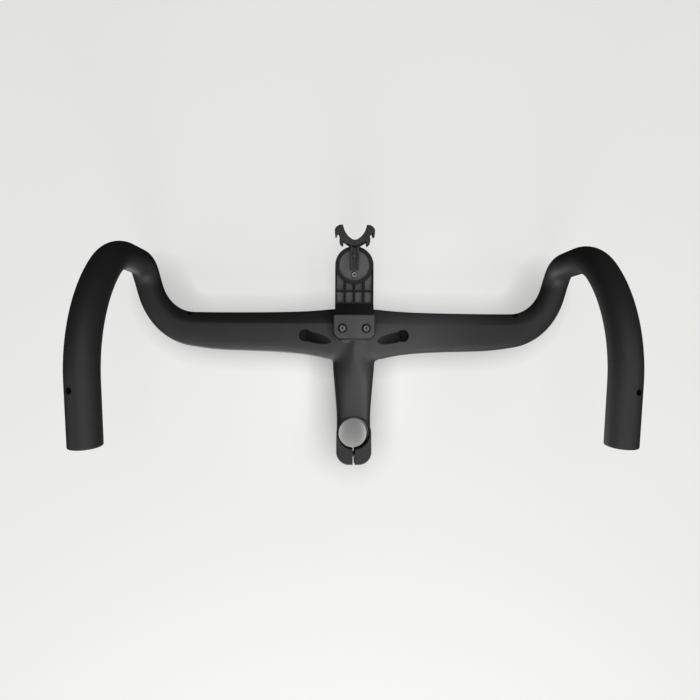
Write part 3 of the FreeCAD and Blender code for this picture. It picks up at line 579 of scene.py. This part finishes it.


# screws of the mount: turned heads with a key socket, painted with the dark finish as shade in the steel
# insert screws, places with the tops level

screws = {
    "insertScrews": {
        "node": "insert_screws", "slot": "bright_steel", "places": [(0.0, 154.3, -12.3), (0.0, 172.1, -14.9)],
        # the front insert screw is painted wholly in the dark finish as shade between the ribs
        "ringUnshaded": [True, False], "head": 2.5, "headHigh": 1.6, "shank": 1.25, "long": 6.8, "socket": 1.35,
        "socketDeep": 1.1, "round": 0.45, "ring": 0.9, "ringLook": "bright_steel",
    },
    "mountBolts": {
        "node": "mount_bolts", "slot": "black_steel",
        "places": [(side * pad["pitch"], pad["sleeveForward"], -19.0) for side in (-0.5, 0.5)],
        "ringUnshaded": [True, True], "head": 3.5, "headHigh": 3.0, "shank": 2.0, "long": 8.0, "socket": 1.5,
        "socketDeep": 1.9, "round": 1.1, "ring": 0.7, "ringLook": "light_ring_steel",
    },
}
socketEdge = {"bevel": 0.12, "middle": 0.05}  # bevel at the mouth, radius left at the floor's middle
screwAround = 48


def screwProfile(k):
    # distance along the screw and radius: socket, flat ring, rounded rim, shank; rows of kind 0 are the
    # ring's, the rest take the dark finish, which in a steel screw's socket is painted shade
    h, r, bevel = k["headHigh"], k["round"], socketEdge["bevel"]
    bow = np.linspace(0.0, math.pi / 2, edgeSteps)
    rim = np.stack([r * (1 - np.cos(bow)) - h, k["head"] - r * (1 - np.sin(bow))], axis=-1)
    floor, mouth = k["socketDeep"] - h, k["socket"] + bevel
    inside = np.array([(floor, socketEdge["middle"]), (floor, k["socket"]),
                       (bevel - h, k["socket"]), (-h, mouth)])
    flat = np.array([(-h, min(mouth + k["ring"], k["head"] - r))])
    shank = np.array([(0.0, k["head"]), (0.0, k["shank"]), (k["long"], k["shank"])])
    rows = np.concatenate([inside, flat, rim, shank])
    kinds = np.ones(len(rows) - 1, dtype=np.int32)
    kinds[2:4] = 0
    return rows, kinds


def buildScrews(name, k):
    profile, rowKinds = screwProfile(k)
    points, faces, kinds = [], [], []
    for place, ringUnshaded in zip(k["places"], k["ringUnshaded"]):
        screw = rodObject("screw", leanVector(*place), leanVector(0, 0, 1), profile, screwAround)
        first = sum(len(part) for part in points)
        points.append(meshPoints(screw.data) / mm)
        faces += [[corner + first for corner in polygon.vertices] for polygon in screw.data.polygons]
        # a screw in shade is painted wholly in the dark finish
        kinds += np.repeat(rowKinds if ringUnshaded else 1 + 0 * rowKinds, screwAround).tolist() + [1, 1]
        bpy.data.objects.remove(screw)
    whole = makeObject(name, np.concatenate(points), faces)
    whole.data.polygons.foreach_set("material_index", kinds)
    smoothed(whole)
    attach(whole, "root")
    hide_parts(k["node"])
    return whole


screwPieces = [buildScrews(name, plan) for name, plan in screws.items()]
print("screws turned")


# materials

grain = {
    "detail": 3.0, "depth": 0.2, "mottleScale": 55.0, "mottleDetail": 5.0, "roughSpread": 0.06,
    "edgeSamples": 4, "paintedShadeSamples": 8,
}


def grainAndPaintedShadeGroup(k):
    # fine moulded grain over softened edges as a normal, a painted shade that darkens colour in corners, and
    # a slow mottle
    group = bpy.data.node_groups.new("grainAndPaintedShade", "ShaderNodeTree")
    for name in ("Scale", "Strength", "Edge", "Reach"):
        group.interface.new_socket(name, in_out="INPUT", socket_type="NodeSocketFloat")
    group.interface.new_socket("Normal", in_out="OUTPUT", socket_type="NodeSocketVector")
    group.interface.new_socket("Shade", in_out="OUTPUT", socket_type="NodeSocketFloat")
    group.interface.new_socket("Mottle", in_out="OUTPUT", socket_type="NodeSocketFloat")
    nodes, links = group.nodes, group.links
    source, out = nodes.new("NodeGroupInput"), nodes.new("NodeGroupOutput")
    place = nodes.new("ShaderNodeTexCoord")
    noise, mottle = nodes.new("ShaderNodeTexNoise"), nodes.new("ShaderNodeTexNoise")
    noise.inputs["Detail"].default_value = k["detail"]
    mottle.inputs["Scale"].default_value = k["mottleScale"]
    mottle.inputs["Detail"].default_value = k["mottleDetail"]
    bevel, bump = nodes.new("ShaderNodeBevel"), nodes.new("ShaderNodeBump")
    # painted shade: ambient occlusion that darkens the colour in corners
    corner = nodes.new("ShaderNodeAmbientOcclusion")
    bevel.samples = k["edgeSamples"]
    corner.samples = k["paintedShadeSamples"]
    bump.inputs["Distance"].default_value = k["depth"] * mm
    links.new(place.outputs["Object"], noise.inputs["Vector"])
    links.new(place.outputs["Object"], mottle.inputs["Vector"])
    links.new(source.outputs["Scale"], noise.inputs["Scale"])
    links.new(source.outputs["Strength"], bump.inputs["Strength"])
    links.new(source.outputs["Edge"], bevel.inputs["Radius"])
    links.new(source.outputs["Reach"], corner.inputs["Distance"])
    links.new(bevel.outputs["Normal"], bump.inputs["Normal"])
    links.new(noise.outputs["Fac"], bump.inputs["Height"])
    links.new(bump.outputs["Normal"], out.inputs["Normal"])
    links.new(corner.outputs["AO"], out.inputs["Shade"])
    links.new(mottle.outputs["Fac"], out.inputs["Mottle"])
    return group


grainAndPaintedShade = grainAndPaintedShadeGroup(grain)


def finish(name, look):
    # one finish: colour is painted darker towards deep in corners as painted shade, roughness wanders a
    # little over the grain
    material = bpy.data.materials.new(name)
    material.use_nodes = True
    nodes, links = material.node_tree.nodes, material.node_tree.links
    shader = nodes["Principled BSDF"]
    surface = nodes.new("ShaderNodeGroup")
    surface.node_tree = grainAndPaintedShade
    surface.inputs["Scale"].default_value = look["scale"]
    surface.inputs["Strength"].default_value = look["grain"]
    surface.inputs["Edge"].default_value = look["edge"] * mm
    surface.inputs["Reach"].default_value = look["reach"] * mm
    # painted shade: colour falls to colour times deep where corners lie in shade
    tint = nodes.new("ShaderNodeMix")
    tint.name = "tint"
    tint.data_type = "RGBA"
    tint.inputs["A"].default_value = (*[part * look["deep"] for part in look["colour"]], 1.0)
    tint.inputs["B"].default_value = (*look["colour"], 1.0)
    spread = nodes.new("ShaderNodeMapRange")
    spread.inputs["To Min"].default_value = look["rough"] - grain["roughSpread"]
    spread.inputs["To Max"].default_value = look["rough"] + grain["roughSpread"]
    shader.inputs["Specular IOR Level"].default_value = look["gloss"]
    shader.inputs["Metallic"].default_value = look.get("metal", 0.0)
    links.new(surface.outputs["Mottle"], spread.inputs["Value"])
    links.new(spread.outputs["Result"], shader.inputs["Roughness"])
    links.new(surface.outputs["Normal"], shader.inputs["Normal"])
    links.new(surface.outputs["Shade"], tint.inputs["Factor"])
    links.new(tint.outputs["Result"], shader.inputs["Base Color"])
    return material


def levelTools(material):
    # sums for masks: coordinates in millimetres with the tops level, arithmetic, and a soft-edged band
    nodes, links = material.node_tree.nodes, material.node_tree.links

    def calc(operation, *terms, clamp=False):
        node = nodes.new("ShaderNodeMath")
        node.operation = operation
        node.use_clamp = clamp
        for socket, term in zip(node.inputs, terms):
            if isinstance(term, float):
                socket.default_value = term
            else:
                links.new(term, socket)
        return node.outputs[0]

    def within(value, middle, half, soft):
        # one inside the band, falling to nothing over the soft stretch
        gap = calc("ABSOLUTE", calc("SUBTRACT", value, middle))
        return calc("MULTIPLY", calc("SUBTRACT", half + soft, gap), 1.0 / soft, clamp=True)

    place = nodes.new("ShaderNodeTexCoord")
    level = nodes.new("ShaderNodeMapping")
    level.inputs["Rotation"].default_value = (leanAngle, 0.0, 0.0)
    level.inputs["Scale"].default_value = (1 / mm, 1 / mm, 1 / mm)
    split = nodes.new("ShaderNodeSeparateXYZ")
    links.new(place.outputs["Object"], level.inputs["Vector"])
    links.new(level.outputs["Vector"], split.inputs[0])
    return calc, within, split.outputs


def cornerReach(calc, x, y, half, back, corner):
    # distance from the straight middle of a plate that is rounded at its two rear corners
    side = calc("MAXIMUM", calc("SUBTRACT", calc("ABSOLUTE", x), half - corner), 0.0)
    rear = calc("MAXIMUM", calc("SUBTRACT", back + corner, y), 0.0)
    return calc("SQRT", calc("ADD", calc("MULTIPLY", side, side), calc("MULTIPLY", rear, rear)))


# painted shade line on the bar round the mount's foot, in the gap round it: width, soft edge, highest level,
# share of colour left
footShadeLine = {"wide": 1.3, "soft": 0.5, "under": -12.5, "left": 0.1}


def addFootShadeLine(material, k, p):
    # a band round the seat's outline, below the level and behind the seat's front, painted darker as shade
    # through the corner-shade factor
    nodes, links = material.node_tree.nodes, material.node_tree.links
    calc, within, (x, y, height) = levelTools(material)
    reach = cornerReach(calc, x, y, p["width"] / 2, p["back"], p["corner"])
    band = within(reach, 0.0, p["corner"] + k["wide"], k["soft"])
    line = calc("MULTIPLY", band, calc("LESS_THAN", height, k["under"]))
    line = calc("MULTIPLY", line, calc("LESS_THAN", y, p["front"]))
    keep = calc("SUBTRACT", 1.0, calc("MULTIPLY", line, 1.0 - k["left"]))
    factor = nodes["tint"].inputs["Factor"]
    links.new(calc("MULTIPLY", factor.links[0].from_socket, keep), factor)


mountLightZones = {
    # lighter zones, in millimetres with the tops level: pocket and head floors as painted light, the foot's
    # face partly its own lighter colour and partly painted light; all else keeps the dark base, partly its
    # own black and partly painted shade on ribs, rim, slope and the foot's edge
    "pocketLevel": -10.1, "pocketHalf": 0.5, "discLevel": -12.3, "discHalf": 0.4, "discForward": 163.2,
    "discRound": 14.6, "discSoft": 0.4, "footLevel": -22.5, "footHalf": 0.85, "footWide": 18.5,
    "footBack": 93.2, "footCorner": 5.5, "footSoft": 0.3, "levelSoft": 0.2,
    "footColourAndLight": (0.066, 0.066, 0.066), "floorPaintedLight": (0.145, 0.145, 0.145),
}


def addMountLightZones(material, z):
    # pocket floors, the head's floor and the foot's face are lighter than ribs, rim, slope and edges: painted
    # light on the floors, own colour and painted light on the foot's face, painted shade on what stays dark
    nodes, links = material.node_tree.nodes, material.node_tree.links
    calc, within, (x, y, height) = levelTools(material)
    soft = z["levelSoft"]
    pocket = within(height, z["pocketLevel"], z["pocketHalf"], soft)
    ahead = calc("SUBTRACT", y, z["discForward"])
    radius = calc("SQRT", calc("ADD", calc("MULTIPLY", x, x), calc("MULTIPLY", ahead, ahead)))
    disc = calc("MULTIPLY", within(height, z["discLevel"], z["discHalf"], soft),
                within(radius, 0.0, z["discRound"], z["discSoft"]))
    corner = cornerReach(calc, x, y, z["footWide"], z["footBack"], z["footCorner"])
    foot = calc("MULTIPLY", within(height, z["footLevel"], z["footHalf"], soft),
                within(corner, 0.0, z["footCorner"], z["footSoft"]))
    base = nodes["tint"].inputs["B"]
    colour = tuple(base.default_value)
    for mask, shade in ((calc("MAXIMUM", pocket, disc), z["floorPaintedLight"]), (foot, z["footColourAndLight"])):
        zone = nodes.new("ShaderNodeMix")
        zone.data_type = "RGBA"
        zone.inputs["A"].default_value = colour
        zone.inputs["B"].default_value = (*shade, 1.0)
        if base.is_linked:
            links.new(base.links[0].from_socket, zone.inputs["A"])
        links.new(mask, zone.inputs["Factor"])
        links.new(zone.outputs["Result"], base)


finishes = {
    # grain and its scale, edge softening and reach of the painted corner shade in millimetres, share of
    # colour left in the painted corner shade
    "laminate": {
        "colour": (0.031, 0.031, 0.0312), "rough": 0.60, "gloss": 0.5, "grain": 0.10, "scale": 900.0,
        "edge": 0.3, "reach": 8.0, "deep": 0.12,
    },
    # hole walls: colour painted darker as the shade inside the holes, on a rougher and duller surface
    "shaded_hole_laminate": {
        "colour": (0.015, 0.015, 0.015), "rough": 0.75, "gloss": 0.2, "grain": 0.25, "scale": 700.0,
        "edge": 0.1, "reach": 6.0, "deep": 0.2,
    },
    "black_steel": {
        "colour": (0.03, 0.03, 0.0305), "rough": 0.36, "gloss": 0.5, "grain": 0.04, "scale": 1500.0,
        "edge": 0.2, "reach": 1.6, "deep": 0.05,
    },
    # dark base of the mount, partly its own black and partly painted shade where no lighter zone lies
    "mount_plastic": {
        "colour": (0.010, 0.010, 0.010), "rough": 0.52, "gloss": 0.35, "grain": 0.22, "scale": 2200.0,
        "edge": 0.3, "reach": 1.6, "deep": 0.15,
    },
    "insert_plastic": {
        "colour": (0.04, 0.04, 0.04), "rough": 0.50, "gloss": 0.5, "grain": 0.20, "scale": 2200.0,
        "edge": 0.3, "reach": 2.0, "deep": 0.2,
    },
    "cradle_plastic": {
        "colour": (0.014, 0.014, 0.014), "rough": 0.42, "gloss": 0.5, "grain": 0.16, "scale": 2200.0,
        "edge": 0.6, "reach": 1.6, "deep": 0.25,
    },
    "sleeve_metal": {
        "colour": (0.5, 0.5, 0.5), "rough": 0.35, "gloss": 0.5, "grain": 0.12, "scale": 1800.0,
        "edge": 0.1, "reach": 1.0, "deep": 0.6, "metal": 1.0,
    },
    "bright_steel": {
        "colour": (0.36, 0.36, 0.365), "rough": 0.38, "gloss": 0.5, "grain": 0.15, "scale": 2600.0,
        "edge": 0.1, "reach": 0.6, "deep": 0.6, "metal": 1.0,
    },
    # lighter steel ring on the black bolts' heads
    "light_ring_steel": {
        "colour": (0.16, 0.16, 0.163), "rough": 0.40, "gloss": 0.5, "grain": 0.20, "scale": 2600.0,
        "edge": 0.1, "reach": 0.6, "deep": 0.5, "metal": 1.0,
    },
}
looks = {slot: finish(slot, look) for slot, look in finishes.items()}
addMountLightZones(looks["mount_plastic"], mountLightZones)
addFootShadeLine(looks["laminate"], footShadeLine, pad)

barStem.data.materials.append(looks["laminate"])
barStem.data.materials.append(looks["shaded_hole_laminate"])
for piece in screwPieces:
    piece.data.materials.append(looks[screws[piece.name]["ringLook"]])
    piece.data.materials.append(looks["black_steel"])

nodeLooks = {
    "clamp_bolts": "black_steel", "clamp_nuts": "black_steel", "mount_arm": "mount_plastic",
    "mount_sleeves": "sleeve_metal", "turn_insert": "insert_plastic", "strap_cradle": "cradle_plastic",
}
weldReach = 0.002  # loose corners closer than this are one point
for name, look in nodeLooks.items():
    piece = bpy.data.objects[name]
    piece.data.materials.clear()
    piece.data.materials.append(looks[look])
    piece.data.shade_smooth()
    weld = piece.modifiers.new("weld", "WELD")
    weld.merge_threshold = weldReach * mm
    split = piece.modifiers.new("creases", "EDGE_SPLIT")
    split.split_angle = creaseAngle
print("materials set")


# stage, light and camera

stageLook = {
    "paint": (0.24, 0.24, 0.236), "glow": 0.69, "tone": (1.0, 1.0, 0.985), "backLevel": 27.0, "floorGap": 4.0,
    "paintedShadowReach": 35.0, "paintedShadowSamples": 16, "size": 3000.0,
}


def oneSided(name, corners, k):
    # flat sheet that shows only the side it faces with, partly self-lit so that it stays even, with a painted
    # shadow in its glow where the object lies close
    sheet = makeObject(name, corners, [[0, 1, 2, 3]])
    material = bpy.data.materials.new(name)
    material.use_nodes = True
    nodes, links = material.node_tree.nodes, material.node_tree.links
    nodes.remove(nodes["Principled BSDF"])
    geometry = nodes.new("ShaderNodeNewGeometry")
    paint = nodes.new("ShaderNodeBsdfDiffuse")
    paint.inputs["Color"].default_value = (*k["paint"], 1.0)
    glow = nodes.new("ShaderNodeEmission")
    glow.inputs["Strength"].default_value = k["glow"]
    # painted shadow: ambient occlusion darkens the sheet's glow where the object lies close
    near = nodes.new("ShaderNodeAmbientOcclusion")  # the sheet darkens where the object lies close
    near.samples = k["paintedShadowSamples"]
    near.inputs["Distance"].default_value = k["paintedShadowReach"] * mm
    near.inputs["Color"].default_value = (*k["tone"], 1.0)
    both = nodes.new("ShaderNodeAddShader")
    clear = nodes.new("ShaderNodeBsdfTransparent")
    mix = nodes.new("ShaderNodeMixShader")
    links.new(near.outputs["Color"], glow.inputs["Color"])
    links.new(paint.outputs[0], both.inputs[0])
    links.new(glow.outputs[0], both.inputs[1])
    links.new(geometry.outputs["Backfacing"], mix.inputs[0])
    links.new(both.outputs[0], mix.inputs[1])
    links.new(clear.outputs[0], mix.inputs[2])
    links.new(mix.outputs[0], nodes["Material Output"].inputs["Surface"])
    sheet.data.materials.append(material)
    sheet.visible_shadow = False
    sheet.visible_glossy = False
    sheet.visible_diffuse = False
    return sheet


square = stageLook["size"] * np.array([[-1.0, -1.0, 0.0], [1.0, -1.0, 0.0],
                                       [1.0, 1.0, 0.0], [-1.0, 1.0, 0.0]])
floorLevel = cadBounds[0][2] / mm - stageLook["floorGap"]
floor = oneSided("floor", square + [0.0, 0.0, floorLevel], stageLook)
backdrop = oneSided("backdrop", lean(square[::-1] + [0.0, 0.0, stageLook["backLevel"]]), stageLook)

lightPlan = [
    # name, place and aim in metres, size, watts, width of the beam in degrees
    ("faceLight", (0.0, 0.05, -0.95), (0.0, 0.06, -0.05), 0.35, 1.45, 180.0),
    ("rearLight", (0.0, -0.85, -0.25), (0.0, 0.06, -0.05), 0.5, 7.3, 180.0),
    ("rightLight", (-0.55, -0.05, -0.70), (0.0, 0.06, -0.05), 0.35, 0.8, 180.0),
    ("leftLight", (0.70, -0.30, -0.35), (0.0, 0.06, -0.05), 0.35, 0.4, 180.0),
    ("topLight", (0.3, -0.6, 1.0), (0.0, 0.06, -0.04), 0.9, 14.0, 180.0),
    ("stemLight", (-0.13, 0.02, -0.20), (-0.005, 0.05, -0.02), 0.06, 0.02, 50.0),
    ("frontLight", (-0.10, 0.24, -0.15), (-0.08, 0.115, -0.01), 0.08, 0.012, 60.0),
]
for name, place, aim, size, watts, beam in lightPlan:
    lamp = bpy.data.lights.new(name, "AREA")
    lamp.size = size
    lamp.energy = watts
    lamp.spread = math.radians(beam)
    holder = bpy.data.objects.new(name, lamp)
    holder.location = place
    holder.rotation_euler = (Vector(aim) - Vector(place)).to_track_quat("-Z", "Y").to_euler()
    bpy.context.scene.collection.objects.link(holder)

studio = {"colour": (0.95, 0.95, 0.94), "fill": 0.03, "seen": 0.8}


def setStudio(plan):
    # weak even fill light all round, pale where the camera looks past the sheets
    world = bpy.data.worlds.new("studio")
    bpy.context.scene.world = world
    world.use_nodes = True
    nodes, links = world.node_tree.nodes, world.node_tree.links
    background = nodes["Background"]
    background.inputs["Color"].default_value = (*plan["colour"], 1.0)
    rays = nodes.new("ShaderNodeLightPath")
    level = nodes.new("ShaderNodeMapRange")
    level.inputs["To Min"].default_value = plan["fill"]
    level.inputs["To Max"].default_value = plan["seen"]
    links.new(rays.outputs["Is Camera Ray"], level.inputs["Value"])
    links.new(level.outputs["Result"], background.inputs["Strength"])


setStudio(studio)

# focal length and middle in pixels of the frame, place in millimetres with the tops level, angles in degrees
cameraPlan = {
    "focal": 468.0, "middle": 352.7, "frame": 700.0, "sensor": 36.0, "nearest": 10.0,
    "place": (0.854, 82.0, -462.0), "roll": 1.667, "twist": 0.3,
}


def placeCamera(plan):
    # looks along +z of the level frame with forward up; roll turns about the forward axis
    r, g = math.radians(plan["roll"]), math.radians(plan["twist"])
    xAxis = np.array([math.cos(g) * math.cos(r), -math.sin(g), math.cos(g) * math.sin(r)])
    yAxis = np.array([math.sin(g) * math.cos(r), math.cos(g), math.sin(g) * math.sin(r)])
    zAxis = np.array([-math.sin(r), 0.0, math.cos(r)])
    px, py, pz = plan["place"]
    flatX, flatY = px * math.cos(g), py - px * math.sin(g)
    spot = np.array([flatX * math.cos(r) - pz * math.sin(r), flatY, flatX * math.sin(r) + pz * math.cos(r)])
    columns = [lean(-xAxis), lean(yAxis), -lean(zAxis), lean(spot) * mm]
    data = bpy.data.cameras.new("camera")
    data.sensor_width = plan["sensor"]
    data.lens = plan["focal"] * plan["sensor"] / plan["frame"]
    data.shift_x = -(plan["middle"] - plan["frame"] / 2) / plan["frame"]
    data.clip_start = plan["nearest"] * mm
    holder = bpy.data.objects.new("camera", data)
    holder.matrix_world = Matrix([*np.stack(columns, axis=-1).tolist(), [0.0, 0.0, 0.0, 1.0]])
    bpy.context.scene.collection.objects.link(holder)
    bpy.context.scene.camera = holder


placeCamera(cameraPlan)
bpy.context.scene.view_settings.view_transform = "Standard"
print("stage, lights and camera set")
